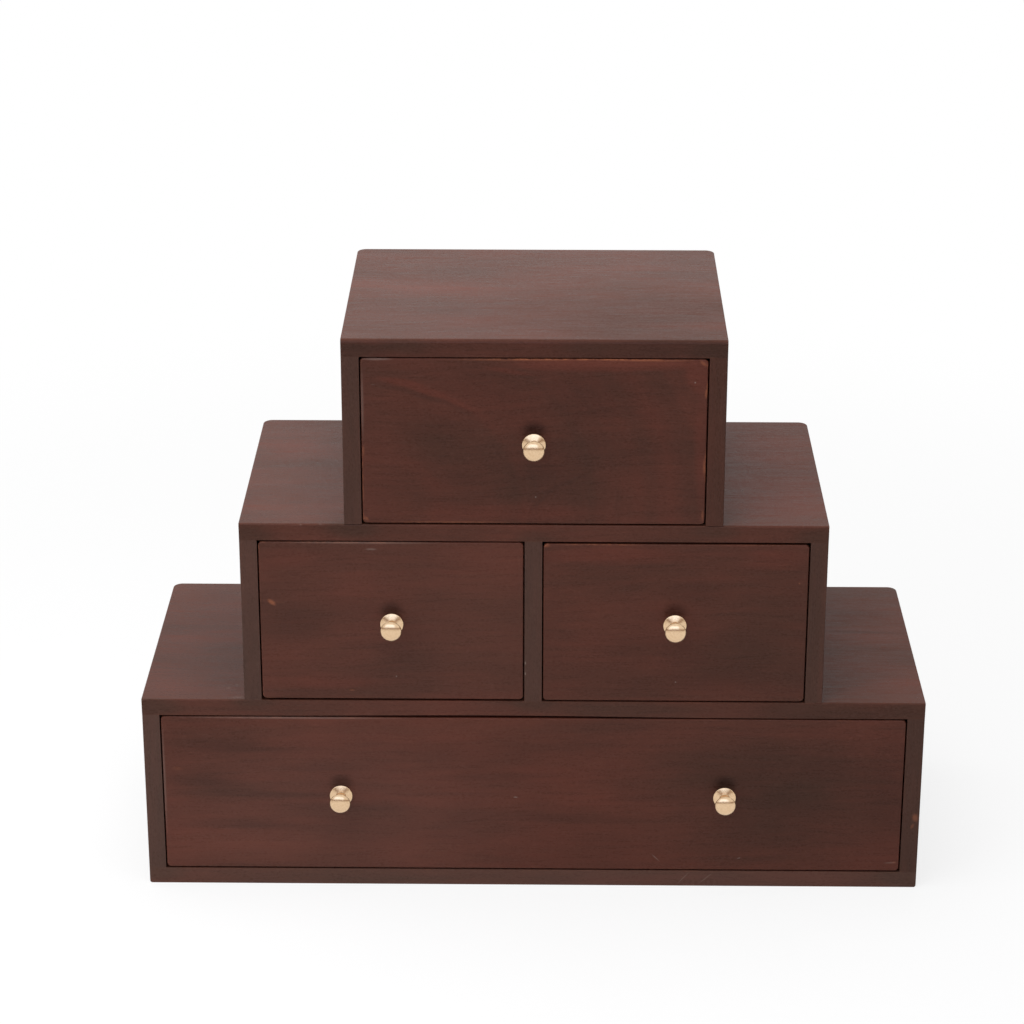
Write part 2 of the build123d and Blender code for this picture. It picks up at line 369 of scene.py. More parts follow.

# The divider: a short upright of the same wood between the two middle drawers. It stops at the back
# panel and is tongued into the boards below and above.
# Painted sheen and painted shade over the whole divider; the nicks are pale marks
divider_painted_sheen, divider_shade = 0.03, -0.12
nicks = [(-4.0, -23, 0.5, 1.2, 0, 0.3), (-4.0, -29, 0.5, 1.0, 0, 0.3)]
low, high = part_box("middle_divider")
low.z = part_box("lower_top_board")[1].z
high.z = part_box("middle_top_board")[0].z
divider = sawn_board(low, high)
round_over(divider, edges_where(divider, lambda p: near(p.y, low.y), "Z"), tight_arris, tight_steps)
wood = stained_wood(
    "divider_stained", low, high, grain="Z", seed=5, redness=upright_redness, rub=upright_rub,
    chalk=[*nicks, (*whole_upright, divider_painted_sheen)],
    light=[(*whole_upright, divider_shade)],
)
finished(divider, "middle_divider_stained", "carcass", "stained_wood", wood, "middle_divider")

# The boards that cover each tier: planks like the base, laid across the sides. The lower two carry
# the next tier, set in from their ends, and all have their upper rim broken by sanding. The lowest is
# planed a little hollow underneath in front, to free the wide drawer.
board_redness, board_rub, first_board_seed = 0.45, 0.1, 6
rim_steps, front_steps = 3, 6
front_round = {"lower_top_board": 0.8 * mm, "middle_top_board": 1.0 * mm, "top_board": 2.2 * mm}
tier_above = {"lower_top_board": "middle", "middle_top_board": "upper"}
hollow_depth = 0.85 * mm
hollow_middle = -20 * mm
hollow_half = 130 * mm
hollow_cuts = 14

# Marks of each kind in millimetres and degrees, from the middle of the front edge or of the top. The light
# marks are painted light and shade, and the broad chalk marks a painted sheen; the small chalk marks are
# pale specks.
board_marks = {
    "lower_top_board": dict(
        olive=[(-199, 0, 24, 8, 0, 0.5), (-145, 3, 16, 6, 0, 0.4), (0, 3, 16, 6, 0, 0.4),
               (50, 0, 60, 7, 0, 0.3), (150, 0, 40, 8, 0, 0.3), (199, 0, 24, 8, 0, 0.4)],
        top_red=[(-175, 45, 40, 26, 0, 0.15), (-176, 20, 34, 1.6, -2, 0.3), (178, -40, 50, 30, 0, 0.1)],
        top_chalk=[(-159, -62, 1.3, 0.7, 0, 0.2), (-155, -58, 0.8, 0.6, 0, 0.2),
                   (-153, -73, 5, 0.6, 0, 0.2)],
        top_light=[(-180, -20, 60, 90, 0, -0.2)],
        top_dark=[(176, 14, 40, 2.8, -4, 0.32), (178, 40, 36, 9, 0, 0.15), (184, -8, 24, 2.5, -8, 0.15)],
        top_dull=[(180, 0, 70, 160, 0, 0.1)],
        chalk=[(-80, 0, 260, 20, 0, 0.008)],
    ),
    "middle_top_board": dict(
        olive=[(-145, -2, 18, 7, 0, 0.4), (-92, 2, 18, 7, 0, 0.4), (0, -3, 14, 6, 0, 0.3),
               (92, 2, 18, 7, 0, 0.3), (145, -2, 18, 7, 0, 0.4)],
        top_red=[(-125, 30, 26, 20, 0, 0.2), (124, -10, 40, 90, 0, 0.45)],
        top_dull=[(124, 0, 70, 160, 0, 0.07)],
        chalk=[(-118, 4.0, 0.8, 0.6, 0, 0.1), (-108, 4.2, 1.2, 0.5, 0, 0.08)],
    ),
    "top_board": dict(
        olive=[(-92, -1, 20, 7, 0, 0.4), (-66, 1, 22, 6, 0, 0.3), (30, 1, 24, 5, 0, 0.2),
               (90, -1, 20, 7, 0, 0.4)],
        top_red=[(-50, 5, 50, 9, 0, 0.2)],
        top_dark=[(-14, 40, 0.9, 0.6, 0, 0.5), (60, -30, 0.8, 0.5, 0, 0.4), (-60, -50, 0.8, 0.5, 0, 0.4)],
        top_light=[(40, -50, 170, 70, 0, -0.15)],
        light=[(0, 0, 300, 20, 0, -0.2)],
        top_dull=[(60, -40, 130, 90, 0, 0.08)],
    ),
}


def cut_across(shape, x):
    """Cuts a shape's faces along a plane across its length."""
    whole = shape.verts[:] + shape.edges[:] + shape.faces[:]
    bmesh.ops.bisect_plane(shape, geom=whole, plane_co=(x, 0, 0), plane_no=(1, 0, 0))


for order, (name, marks) in enumerate(board_marks.items()):
    low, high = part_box(name)
    board = sawn_board(low, high)
    round_over(board, edges_where(board, lambda p: near(p.y, high.y), "Z"), rear_corner, corner_steps)
    if name == "lower_top_board":
        for step in range(hollow_cuts + 1):
            cut_across(board, hollow_middle + hollow_half * (2 * step / hollow_cuts - 1))
        for vert in board.verts:
            off = (vert.co.x - hollow_middle) / hollow_half
            if near(vert.co.y, low.y) and near(vert.co.z, low.z) and abs(off) < 1:
                vert.co.z += hollow_depth * math.cos(math.pi / 2 * off) ** 2
    covered = 0.0
    if name in tier_above:
        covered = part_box(f"{tier_above[name]}_right_side")[1].x
        cut_across(board, -covered)
        cut_across(board, covered)
    upper_rim = edges_where(board, lambda p: near(p.z, high.z))
    upper_front = [e for e in upper_rim if all(near(v.co.y, low.y) for v in e.verts)]
    bare_front = [e for e in upper_front if all(abs(v.co.x) > covered - soft_arris for v in e.verts)]
    round_over(board, bare_front, front_round[name], front_steps)
    upper_rim = edges_where(board, lambda p: near(p.z, high.z) and not near(p.y, low.y))
    round_over(board, upper_rim, soft_arris, rim_steps)
    round_over(board, edges_where(board, lambda p: near(p.y, low.y), "Z"), soft_arris, arris_steps)
    wood = stained_wood(f"{name}_stain", low, high, grain="X", seed=first_board_seed + order,
                        redness=board_redness, rub=board_rub, **marks)
    finished(board, f"{name}_stained", "carcass", "stained_wood", wood, name)

# The back panels: thin plywood, one to a tier, left unstained. Each is let into the grooves of its two
# sides and held between the boards below and above.
ply_pale = (0.52, 0.36, 0.22, 1)
ply_brown = (0.36, 0.215, 0.115, 1)
bare_streak = (120, 9, 5.0)
bare_streak_tone, bare_fibre_tone, bare_pore_tone = 0.85, 0.45, 0.5
brown_end, pale_end = -0.25, 0.3
bare_pore_band = (0.14, 0.24)
bare_gloss, bare_fibre_gloss, bare_polish = 0.55, 0.15, 0.3
bare_relief_strength, bare_relief_depth = 0.4, 0.08 * mm
bare_seed_shift = Vector((57.0, 31.0, 83.0))


def bare_wood(name, grain, seed, pale, brown):
    """Unstained wood: soft streaks along the grain, fine fibre and short pores."""
    material, tree = new_material(name)
    turned = {"X": (0, 0, 0), "Y": (0, 0, math.radians(-90))}[grain]
    along = node(tree, "Mapping", {"Vector": own_place(tree), "Rotation": turned, "Scale": to_mm,
                                   "Location": bare_seed_shift * seed})
    streak = stretched_noise(tree, along, *bare_streak)
    fibre = stretched_noise(tree, along, *fibre_grain)
    open_pore = ramp(tree, stretched_noise(tree, along, *pore_grain), *bare_pore_band)
    tone = calc(tree, "MULTIPLY", streak, bare_streak_tone)
    tone = calc(tree, "MULTIPLY_ADD", fibre, bare_fibre_tone, tone)
    colour = blend(tree, ramp(tree, tone, brown_end, pale_end), brown, pale)
    colour = blend(tree, calc(tree, "MULTIPLY", open_pore, bare_pore_tone), colour, brown)
    height = calc(tree, "MULTIPLY_ADD", open_pore, pore_relief, fibre)
    relief = node(tree, "Bump", {"Strength": bare_relief_strength, "Distance": bare_relief_depth,
                                 "Height": height})
    gloss = calc(tree, "MULTIPLY_ADD", fibre, bare_fibre_gloss, bare_gloss)
    shader = tree.nodes["Principled BSDF"]
    shader.inputs["Specular IOR Level"].default_value = bare_polish
    tree.links.new(colour, shader.inputs["Base Color"])
    tree.links.new(gloss, shader.inputs["Roughness"])
    tree.links.new(relief, shader.inputs["Normal"])
    return material


def surfaced(node_name, material):
    """Gives a solid that stays as it is its finish."""
    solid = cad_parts[node_name]
    solid.data.materials.clear()
    solid.data.materials.append(material)


panel_ply = bare_wood("back_plywood", grain="X", seed=1, pale=ply_pale, brown=ply_brown)
for tier in boards_around:
    surfaced(f"{tier}_back_panel", panel_ply)

# The drawer fronts: inset boards of the stained hardwood, rounded over all round the face. Each is
# lapped at its ends for the side walls, grooved across the inside for the bottom, and planed at foot
# and head until it runs free.
front_corner, front_corner_steps = 2.2 * mm, 8
front_easing, front_easing_steps = 0.8 * mm, 5
flat_angle = 0.01
groove_room = 0.1 * mm
front_trims = {
    "lower": (0.0, 0.15 * mm),
    "middle_left": (0.35 * mm, 0.1 * mm),
    "middle_right": (0.0, 0.6 * mm),
    "upper": (0.1 * mm, 0.0),
}
front_rub, first_front_seed, front_seed_step = 0.15, 11, 2

# Growth rings that arch on the upper front: middle across and up, stretch and scale
upper_arch = (-78, -32, 1.15, 0.06)

# Painted shade over each knob, where the knob shades the wood: height above the axis, half length, half
# height and strength
painted_knob_shade = (7.6, 8.5, 6.5, -0.5)

# Redness, and marks of each kind in millimetres and degrees from the middle of the face. The light marks are
# painted light and shade, and the broad chalk marks a painted sheen; the long thin chalk lines along the top
# and side edges are painted highlights, and the small chalk marks are pale specks.
front_marks = {
    "lower": dict(
        redness=0.62,
        dark=[(-164, 28, 36, 5, 0, 0.24), (-146, 25, 44, 3, 1, 0.2), (-178, 9, 30, 9, 0, 0.26),
              (-166, 5, 34, 5, -3, 0.2), (-138, -1, 64, 3.2, -1, 0.32), (-158, -18, 44, 4.5, 1, 0.26),
              (-134, -20, 40, 3, -1, 0.2), (-112, 15, 40, 4, 1, 0.2), (-96, -8, 46, 4, -1, 0.22),
              (-44, 0, 46, 1.4, 1, 0.2), (-20, 10, 50, 3, 1, 0.2), (20, -14, 60, 4, -1, 0.2),
              (60, -2, 36, 3.5, 0, 0.18)],
        olive=[(130, 0, 110, 60, 0, 0.3), (140, 2, 26, 9, 0, 0.3)],
        light=[(-150, -34, 70, 14, 0, 0.15), (-60, 37, 150, 12, 0, 0.12), (155, 0, 90, 60, 0, -0.14),
               (188, 0, 18, 70, 0, -0.1), (-60, -36, 50, 12, 0, 0.1)],
        chalk=[(-9, -1.7, 1.6, 0.4, 0, 0.4), (65, -37, 4.0, 0.35, -45, 0.2), (109, -37, 1.4, 0.35, 20, 0.3),
               (189, -39.2, 4.5, 0.6, 3, 0.12), (-110, -18, 140, 80, 0, 0.024),
               (-125, 43.7, 70, 1.0, 0, 0.12), (-193, 8, 1.0, 40, 0, 0.1)],
        bare=[(191, -39, 1.5, 0.6, 0, 0.3), (-186, 14, 4, 1.5, 0, 0.12)],
        rubbed=[(-120, 43.5, 70, 4, 0, 0.25), (-188, -30, 5, 14, 0, 0.3), (60, -43.5, 120, 4, 0, 0.2)],
    ),
    "middle_left": dict(
        redness=0.48,
        dark=[(-48, -2, 26, 16, 0, 0.22), (-25, 8, 24, 10, 0, 0.15), (-12, -14, 24, 3, 0, 0.15)],
        light=[(45, 0, 34, 60, 0, 0.1)],
        red=[(-30, -35, 34, 7, 0, 0.3), (-52, 36, 22, 7, 0, 0.25)],
        bare=[(-61.4, 10.4, 3.4, 1.7, -38, 0.55), (-58, 10.3, 6, 0.8, 0, 0.06),
              (-21, -39, 2, 0.5, 0, 0.35)],
        chalk=[(2, -31, 0.5, 0.5, 0, 0.4), (-10, 40, 4, 0.8, 0, 0.15), (0, 0, 160, 110, 0, 0.007),
               (-15, 43.6, 50, 1.0, 0, 0.1)],
        rubbed=[(-20, 43.5, 46, 4, 0, 0.4), (-65, 42, 6, 6, 0, 0.4), (-65, -42, 6, 6, 0, 0.35)],
    ),
    "middle_right": dict(
        redness=0.46,
        dark=[(8, 17, 26, 10, 0, 0.2), (30, -32, 34, 10, 0, 0.18), (-15, -14, 34, 10, 0, 0.16)],
        olive=[(40, -5, 50, 40, 0, 0.2)],
        red=[(-30, 38, 60, 7, 0, 0.45), (52, 36, 24, 9, 0, 0.3)],
        light=[(40, -10, 50, 50, 0, -0.05), (-10, -20, 70, 34, 0, -0.06)],
        bare=[(-66, 43, 2.5, 1.5, 0, 0.35), (63, 22.7, 0.6, 0.6, 0, 0.4)],
        chalk=[(1, -33, 0.5, 0.5, 0, 0.4)],
        rubbed=[(-40, 43.5, 30, 4, 0, 0.4), (40, 43.5, 30, 4, 0, 0.15)],
    ),
    "upper": dict(
        redness=0.5,
        arch=upper_arch,
        olive=[(-42, 0, 36, 18, 0, 0.22), (8, -26, 44, 14, 0, 0.15)],
        bare=[(85.5, 26, 0.9, 3.5, 0, 0.4), (85.4, -13, 0.9, 6, 0, 0.35), (84, 42, 3, 1.2, -40, 0.4),
              (58, 43.3, 26, 0.7, 0, 0.3), (-8, 43.3, 46, 0.6, 0, 0.22), (-85.5, -5, 0.8, 4, 0, 0.3),
              (-84.6, -41.6, 2, 1.3, -40, 0.35), (-40, -43.2, 40, 0.6, 0, 0.2),
              (85.2, -39, 0.9, 4, 0, 0.3)],
        light=[(0, 10, 220, 110, 0, -0.1), (-5, 24, 90, 22, 0, -0.1), (40, 42, 60, 3, 0, 0.2)],
        red=[(-66, 31.5, 16, 2.6, -11, 0.5), (-52, 26.5, 15, 2.6, -17, 0.5), (-38, 20.5, 9, 2.2, -26, 0.35),
             (-12, 37.5, 18, 2.0, -9, 0.45), (35, 41.5, 70, 5, 0, 0.8), (82, 36, 9, 12, 0, 0.7),
             (84, -4, 5, 44, 0, 0.35), (-10, -38, 60, 7, 0, 0.3)],
        dark=[(-72, 29, 18, 2.2, -12, 0.2), (-53, 23.4, 16, 2.2, -15, 0.22), (-36, 17.2, 12, 2.2, -27, 0.2),
              (-47, 6, 30, 12, 0, 0.2), (-36, -21, 20, 6, 0, 0.12), (42, 16, 46, 4, 0, 0.14),
              (16, -22, 20, 2.0, 24, 0.2), (4, -31, 10, 1.6, 48, 0.18)],
        chalk=[(80, 32, 0.6, 0.6, 0, 0.4), (1, -29.5, 0.5, 0.5, 0, 0.4), (-80, 30.2, 1.5, 0.5, 0, 0.06),
               (-78, 43.6, 10, 0.9, 0, 0.15), (-85.6, 20, 0.9, 24, 0, 0.1)],
        rubbed=[(22, 43.5, 70, 4, 0, 1.0), (84, 41, 7, 5, 0, 1.0), (85.5, 28, 3, 6, 0, 0.9),
                (85.5, -12, 3, 12, 0, 0.8), (-47, -43.5, 42, 4, 0, 0.4), (-85.5, -20, 3, 20, 0, 0.4),
                (-84, -41, 5, 5, 0, 0.5)],
    ),
}


def drawer_front(name):
    """An inset front with its laps, its groove and its rounded face."""
    low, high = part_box(f"{name}_drawer_front")
    low.z += front_trims[name][0]
    high.z -= front_trims[name][1]
    wall_low, left_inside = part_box(f"{name}_drawer_left_wall")
    right_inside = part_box(f"{name}_drawer_right_wall")[0]
    panel_low, panel_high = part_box(f"{name}_drawer_bottom")
    groove_y, groove_top = panel_low.y - groove_room, panel_high.z + groove_room
    section = [(low.y, low.z), (high.y, low.z), (high.y, panel_low.z), (groove_y, panel_low.z),
               (groove_y, groove_top), (high.y, groove_top), (high.y, high.z), (low.y, high.z)]
    front = drawn_out([(left_inside.x, y, z) for y, z in section], (right_inside.x - left_inside.x, 0, 0))
    whole = front.verts[:] + front.edges[:] + front.faces[:]
    bmesh.ops.bisect_plane(front, geom=whole, plane_co=(0, wall_low.y, 0), plane_no=(0, 1, 0))
    for inside, outside in ((left_inside.x, low.x), (right_inside.x, high.x)):
        lip = [f for f in front.faces if abs(f.normal.x) > true_to_axis
               and near(f.verts[0].co.x, inside) and f.calc_center_median().y < wall_low.y]
        made = bmesh.ops.extrude_face_region(front, geom=lip)["geom"]
        bmesh.ops.translate(front, vec=(outside - inside, 0, 0),
                            verts=[v for v in made if isinstance(v, bmesh.types.BMVert)])
        bmesh.ops.delete(front, geom=lip, context="FACES_ONLY")
    bmesh.ops.dissolve_limit(front, angle_limit=flat_angle, verts=front.verts, edges=front.edges)
    ends = edges_where(front, lambda p: near(p.x, low.x) or near(p.x, high.x), "Y")
    round_over(front, ends, front_corner, front_corner_steps)
    round_over(front, edges_where(front, lambda p: near(p.y, low.y)), front_easing, front_easing_steps)
    inner_rim = edges_where(front, lambda p: near(p.y, high.y) and near(p.z, high.z))
    round_over(front, inner_rim, soft_arris, rim_steps)
    return front, low, high


def knob_axes(name):
    """The node of a drawer's knobs, where their axes stand across and up, and their flanges' radius."""
    node_name = f"{name}_knobs" if name == "lower" else f"{name}_knob"
    low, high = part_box(node_name)
    flange_radius = (high.z - low.z) / 2
    across = [low.x + flange_radius, high.x - flange_radius] if name == "lower" else [(low.x + high.x) / 2]
    return node_name, across, low.z + flange_radius, flange_radius


for order, (name, marks) in enumerate(front_marks.items()):
    front, low, high = drawer_front(name)
    middle = (low + high) / 2
    _, across, up, _ = knob_axes(name)
    above, half_length, half_height, strength = painted_knob_shade
    for x in across:
        place = ((x - middle.x) / mm, (up - middle.z) / mm + above)
        marks["light"].append((*place, half_length, half_height, 0, strength))
    wood = stained_wood(f"{name}_front_stained", low, high, grain="X",
                        seed=first_front_seed + front_seed_step * order, rub=front_rub, **marks)
    node_name = f"{name}_drawer_front"
    finished(front, f"{node_name}_stained", f"{name}_drawer", "stained_wood", wood, node_name)

# The drawer boxes: side walls lapped into the front and grooved for the bottom, with a lower rear
# wall between them, all of plain planed softwood. The bottom is thin plywood slid in from behind.
wall_arris = 0.6 * mm
deal_pale = (0.50, 0.34, 0.205, 1)
deal_brown = (0.36, 0.205, 0.105, 1)
wall_wood = bare_wood("planed_deal", grain="Y", seed=2, pale=deal_pale, brown=deal_brown)
rear_wood = bare_wood("planed_deal_across", grain="X", seed=3, pale=deal_pale, brown=deal_brown)
bottom_ply = bare_wood("bottom_plywood", grain="X", seed=4, pale=ply_pale, brown=ply_brown)
for name in front_marks:
    body = f"{name}_drawer"
    panel_low, panel_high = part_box(f"{name}_drawer_bottom")
    for side in ("left", "right"):
        low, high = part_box(f"{name}_drawer_{side}_wall")
        outer, inner = (low.x, high.x) if side == "left" else (high.x, low.x)
        groove = panel_low.x - groove_room if side == "left" else panel_high.x + groove_room
        groove_top = panel_high.z + groove_room
        section = [(outer, low.z), (inner, low.z), (inner, panel_low.z), (groove, panel_low.z),
                   (groove, groove_top), (inner, groove_top), (inner, high.z), (outer, high.z)]
        wall = drawn_out([(x, low.y, z) for x, z in section], (0, high.y - low.y, 0))
        round_over(wall, edges_where(wall, lambda p: near(p.z, high.z)), wall_arris, rim_steps)
        node_name = f"{name}_drawer_{side}_wall"
        finished(wall, f"{node_name}_planed", body, "drawer_wood", wall_wood, node_name)
    node_name = f"{name}_drawer_back_wall"
    low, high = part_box(node_name)
    wall = sawn_board(low, high)
    round_over(wall, edges_where(wall, lambda p: near(p.z, high.z)), wall_arris, rim_steps)
    finished(wall, f"{node_name}_planed", body, "drawer_wood", rear_wood, node_name)
    surfaced(f"{name}_drawer_bottom", bottom_ply)

# The knobs: turned from pale brass bar and clear lacquered, with a round flange against the drawer
# front, a neck drawn in by a hollow curve, and a domed head. A screw from inside holds each one.
brass_pale = (0.755, 0.528, 0.318, 1)
brass_deep = (0.70, 0.472, 0.272, 1)
lacquer, lacquer_roughness = 1.0, 0.2
bloom_scale, bloom_detail, bloom_band = 0.9, 3.0, (0.35, 0.7)
brass_gloss, bloom_gloss = 0.19, 0.1
lathe_scale, lathe_detail = 7.0, 2.0
lathe_strength, lathe_depth = 0.1, 0.02 * mm
flange_edge = 0.9 * mm
flange_round = 0.25 * mm
flare_radius = 2.95 * mm
flare_height = 1.89 * mm
flare_pulls = ((2.75 * mm, 1.96 * mm), (2.65 * mm, 2.09 * mm))
waist_radius = 2.65 * mm
waist_height = 5.2 * mm
throat_pulls = ((2.65 * mm, 7.2 * mm), (4.4 * mm, 8.5 * mm))
throat_radius = 5.38 * mm
throat_height = 9.6 * mm
head_radius = 5.5 * mm
dome_radius = 5.64 * mm
dome_depth = 2.9 * mm
seam = 0.001 * mm
curve_steps = 14
turns = 96


def curve(start, pull_start, pull_end, end):
    """Points along a curve that leaves and reaches its ends along two pulls."""
    ends = [Vector((*p, 0)) for p in (start, pull_start, pull_end, end)]
    return [(p.x, p.y) for p in geometry.interpolate_bezier(*ends, curve_steps)]


def turned_knob(shape, x, y, z, flange_radius, projection):
    """Spins a knob's outline, given as radius and height, about its axis."""
    rim = math.acos(head_radius / dome_radius)
    sweep = [rim + (math.pi / 2 - rim) * step / curve_steps for step in range(curve_steps)]
    outline = [(0, 0), (flange_radius, 0), (flange_radius, flange_edge - flange_round)]
    outline += [(flange_radius - flange_round, flange_edge)]
    outline += curve((flare_radius, flare_height), *flare_pulls, (waist_radius, waist_height))
    outline += curve((waist_radius, waist_height), *throat_pulls, (throat_radius, throat_height))[1:]
    outline += [(dome_radius * math.cos(a), projection - dome_depth * (1 - math.sin(a))) for a in sweep]
    outline += [(0, projection)]
    points = [shape.verts.new((x + radius, y - height, z)) for radius, height in outline]
    edges = [shape.edges.new(pair) for pair in zip(points, points[1:])]
    bmesh.ops.spin(shape, geom=points + edges, cent=(x, y, z), axis=(0, 1, 0), angle=math.tau,
                   steps=turns, use_merge=True)


def satin_brass(name, x, half_spacing, z):
    """Lacquered brass with a soft bloom, and the fine rings that a lathe leaves about each knob's axis."""
    material, tree = new_material(name)
    moved = (-x / mm, 0, -z / mm)
    place = node(tree, "Mapping", {"Vector": own_place(tree), "Location": moved, "Scale": to_mm})
    parts = node(tree, "SeparateXYZ", {0: place}).node.outputs
    across = calc(tree, "SUBTRACT", calc(tree, "ABSOLUTE", parts[0]), half_spacing / mm)
    squares = calc(tree, "MULTIPLY_ADD", across, across, calc(tree, "MULTIPLY", parts[2], parts[2]))
    ring_at = calc(tree, "ADD", calc(tree, "SQRT", squares), parts[1])
    rings = node(tree, "TexNoise", {"W": ring_at, "Scale": lathe_scale, "Detail": lathe_detail},
                 noise_dimensions="1D")
    bloom = node(tree, "TexNoise", {"Vector": place, "Scale": bloom_scale, "Detail": bloom_detail})
    colour = blend(tree, ramp(tree, bloom, *bloom_band), brass_pale, brass_deep)
    gloss = calc(tree, "MULTIPLY_ADD", bloom, bloom_gloss, brass_gloss)
    relief = node(tree, "Bump", {"Strength": lathe_strength, "Distance": lathe_depth, "Height": rings})
    shader = tree.nodes["Principled BSDF"]
    shader.inputs["Metallic"].default_value = 1.0
    shader.inputs["Coat Weight"].default_value = lacquer
    shader.inputs["Coat Roughness"].default_value = lacquer_roughness
    tree.links.new(colour, shader.inputs["Base Color"])
    tree.links.new(gloss, shader.inputs["Roughness"])
    tree.links.new(relief, shader.inputs["Normal"])
    return material


for name in front_marks:
    node_name, across, up, flange_radius = knob_axes(name)
    low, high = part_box(node_name)
    knobs = bmesh.new()
    for x in across:
        turned_knob(knobs, x, high.y, up, flange_radius, high.y - low.y)
    bmesh.ops.remove_doubles(knobs, verts=knobs.verts, dist=seam)
    brass = satin_brass(f"{name}_brass", (low.x + high.x) / 2, (across[-1] - across[0]) / 2, up)
    finished(knobs, f"{node_name}_turned", f"{name}_drawer", "satin_brass", brass, node_name)

# The knob screws: slotted steel machine screws with a cloudy plating of zinc. Each is driven from
# inside the drawer, through the front and into the foot of its knob.
zinc_bright = (0.60, 0.61, 0.62, 1)
zinc_dull = (0.42, 0.42, 0.42, 1)
cloud_scale, cloud_detail, cloud_band = 900.0, 3.0, (0.35, 0.65)
zinc_gloss, cloud_gloss = 0.22, 0.25
zinc, tree = new_material("zinc_plate")
cloud = node(tree, "TexNoise", {"Vector": own_place(tree), "Scale": cloud_scale, "Detail": cloud_detail})
colour = blend(tree, ramp(tree, cloud, *cloud_band), zinc_bright, zinc_dull)
gloss = calc(tree, "MULTIPLY_ADD", cloud, cloud_gloss, zinc_gloss)
shader = tree.nodes["Principled BSDF"]
shader.inputs["Metallic"].default_value = 1.0
tree.links.new(colour, shader.inputs["Base Color"])
tree.links.new(gloss, shader.inputs["Roughness"])
for name in front_marks:
    surfaced(f"{name}_knob_screws" if name == "lower" else f"{name}_knob_screw", zinc)

# The floor: a wide white sheet that the chest stands on. To the lens it is white but for the chest's
# shadow close by, and farther off it is as white as the surround.
floor_half = 6.0
floor_white = (0.92, 0.92, 0.92, 1)
near_white, far_white = 0.8, 1.0
near_reach, far_reach = 0.3, 0.9


def shown_rays(tree):
    """1 for rays that show the background: to the lens, or by way of a reflection or clear body."""
    rays = node(tree, "LightPath", {}).node.outputs
    seen = calc(tree, "MAXIMUM", rays["Is Camera Ray"], rays["Is Glossy Ray"])
    return calc(tree, "MAXIMUM", seen, rays["Is Transmission Ray"])


def empty_material(name):
    """A material with nothing but its output, and its tree of nodes."""
    material, tree = new_material(name)
    tree.nodes.remove(tree.nodes["Principled BSDF"])
    return material, tree


def staged(shape, name, material):
    """Makes a shape a piece of the stage."""
    mesh = bpy.data.meshes.new(name)
    shape.to_mesh(mesh)
    shape.free()
    mesh.materials.append(material)
    piece = bpy.data.objects.new(name, mesh)
    bpy.context.scene.collection.objects.link(piece)
    return piece


sheet = bmesh.new()
bmesh.ops.create_grid(sheet, x_segments=1, y_segments=1, size=floor_half)
floor_paint, tree = empty_material("floor_paint")
away = node(tree, "VectorMath", {0: own_place(tree)}, operation="LENGTH").node.outputs["Value"]
shown_white = ramp(tree, away, near_reach, far_reach, near_white, far_white)
matt = node(tree, "BsdfDiffuse", {"Color": floor_white})
white = node(tree, "Emission", {"Strength": 1.0})
share = calc(tree, "MULTIPLY", shown_rays(tree), shown_white)
sheet_shade = node(tree, "MixShader", {0: share, 1: matt, 2: white})
tree.links.new(sheet_shade, tree.nodes["Material Output"].inputs["Surface"])
staged(sheet, "white_floor", floor_paint)

# The light: a white surround, a broad soft lamp overhead, a small one on the left and a wide one in
# front. Reflections show none of the lamps, but a low brown screen with faded edges and a cool panel
# above it, which are seen in no other way.
surround_white = (1, 1, 1, 1)
surround_level = 0.12
world = bpy.data.worlds.new("white_surround")
world.use_nodes = True
tree = world.node_tree
tree.nodes.remove(tree.nodes["Background"])
dim = node(tree, "Background", {"Color": surround_white, "Strength": surround_level})
bright = node(tree, "Background", {"Color": surround_white, "Strength": 1.0})
mixed = node(tree, "MixShader", {0: shown_rays(tree), 1: dim, 2: bright})
tree.links.new(mixed, tree.nodes["World Output"].inputs["Surface"])
bpy.context.scene.world = world

screen_reach = 2.6
screen_foot = 0.08
screen_height = 0.68
screen_core = 0.07
screen_sag = 0.12
screen_tan = (0.42, 0.27, 0.15, 1)
screen_sides = 48


def mirrored_only(shape, name, material):
    """Makes a shape a piece of the stage that is seen in reflections alone."""
    piece = staged(shape, name, material)
    piece.visible_camera = False
    piece.visible_diffuse = False
    piece.visible_shadow = False


screen = bmesh.new()
bmesh.ops.create_circle(screen, segments=screen_sides, radius=screen_reach)
bmesh.ops.translate(screen, vec=(0, 0, screen_foot), verts=screen.verts)
whole = screen.verts[:] + screen.edges[:]
bmesh.ops.bisect_plane(screen, geom=whole, plane_co=(0, 0, 0), plane_no=(0, 1, 0), clear_outer=True)
raised = bmesh.ops.extrude_edge_only(screen, edges=screen.edges[:])["geom"]
rim_points = [v for v in raised if isinstance(v, bmesh.types.BMVert)]
bmesh.ops.translate(screen, vec=(0, 0, screen_height), verts=rim_points)
for vert in screen.verts:
    vert.co.z -= screen_sag * (vert.co.x / screen_reach) ** 2
screen_cloth, tree = empty_material("screen_cloth")
sides = node(tree, "SeparateXYZ", {0: own_place(tree)}).node.outputs
sag = calc(tree, "MULTIPLY", calc(tree, "MULTIPLY", sides[0], sides[0]), screen_sag / screen_reach**2)
height = calc(tree, "ADD", sides[2], sag)
from_middle = calc(tree, "ABSOLUTE", calc(tree, "SUBTRACT", height, screen_foot + screen_height / 2))
thickness = ramp(tree, from_middle, screen_core, screen_height / 2, 1.0, 0.0)
through = blend(tree, thickness, surround_white, screen_tan)
back_again = node(tree, "VectorMath", {0: through, 1: through}, operation="MULTIPLY")
cloth = node(tree, "Emission", {"Color": back_again, "Strength": 1.0})
tree.links.new(cloth, tree.nodes["Material Output"].inputs["Surface"])
mirrored_only(screen, "dark_screen", screen_cloth)


def aimed(place, aim):
    """Where a lamp or panel stands that is turned towards a point."""
    turn = (Vector(aim) - Vector(place)).to_track_quat("-Z", "Y")
    return Matrix.Translation(place) @ turn.to_matrix().to_4x4()


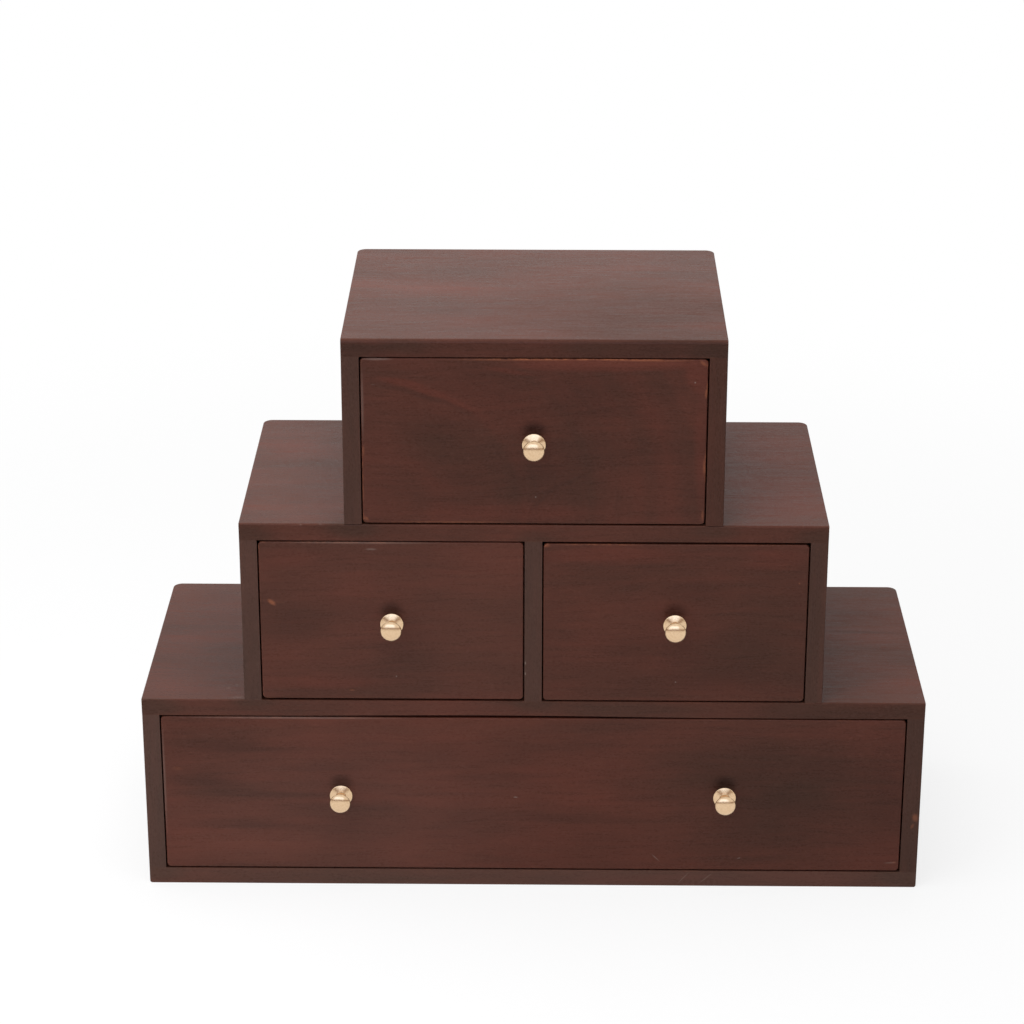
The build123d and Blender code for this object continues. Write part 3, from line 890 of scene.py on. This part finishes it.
def soft_lamp(name, place, aim, size, watts, colour):
    """A soft lamp, so wide and so high, turned towards a point."""
    lamp = bpy.data.lights.new(name, "AREA")
    lamp.shape = "RECTANGLE"
    lamp.size, lamp.size_y = size
    lamp.energy = watts
    lamp.color = colour
    lamp_object = bpy.data.objects.new(name, lamp)
    lamp_object.matrix_world = aimed(place, aim)
    lamp_object.visible_camera = False
    lamp_object.visible_glossy = False
    bpy.context.scene.collection.objects.link(lamp_object)


plain_white = (1.0, 1.0, 1.0)
cool_white = (0.93, 0.98, 1.1)
front_place, front_aim, front_size = (-0.6, -2.5, 1.5), (0, 0, 0.15), (4.2, 1.8)
soft_lamp("overhead_softbox", place=(-0.25, -0.15, 1.35), aim=(0, -0.1, 0), size=(1.5, 1.5), watts=24.0,
          colour=plain_white)
soft_lamp("left_softbox", place=(-0.9, -0.6, 0.4), aim=(0, 0, 0.1), size=(1.1, 1.1), watts=2.2,
          colour=plain_white)
soft_lamp("front_softbox", front_place, front_aim, front_size, watts=17.5, colour=cool_white)

panel_cool = (0.7, 0.81, 1.0, 1)
panel_strength = 2.25
panel = bmesh.new()
bmesh.ops.create_grid(panel, x_segments=1, y_segments=1, size=0.5)
bmesh.ops.scale(panel, vec=(*front_size, 1), verts=panel.verts)
bmesh.ops.transform(panel, matrix=aimed(front_place, front_aim), verts=panel.verts)
panel_glow, tree = empty_material("panel_glow")
glow = node(tree, "Emission", {"Color": panel_cool, "Strength": panel_strength})
tree.links.new(glow, tree.nodes["Material Output"].inputs["Surface"])
mirrored_only(panel, "bright_panel", panel_glow)

# The camera: a long lens about a metre and a half in front of the chest and well above it, looking
# down at it from where the photograph was taken.
camera = bpy.data.cameras.new("camera")
camera.lens = 108.5
camera.sensor_width = 36.0
camera_object = bpy.data.objects.new("camera", camera)
camera_place = (0.0061, -1.5221, 0.7962)
camera_yaw, camera_pitch, camera_roll = (math.radians(a) for a in (-0.675, 21.954, -0.035))
camera_object.matrix_world = (
    Matrix.Translation(camera_place)
    @ Matrix.Rotation(-camera_yaw, 4, "Z")
    @ Matrix.Rotation(math.radians(90) - camera_pitch, 4, "X")
    @ Matrix.Rotation(-camera_roll, 4, "Z")
)
bpy.context.scene.collection.objects.link(camera_object)
bpy.context.scene.camera = camera_object
bpy.context.scene.view_settings.view_transform = "Standard"
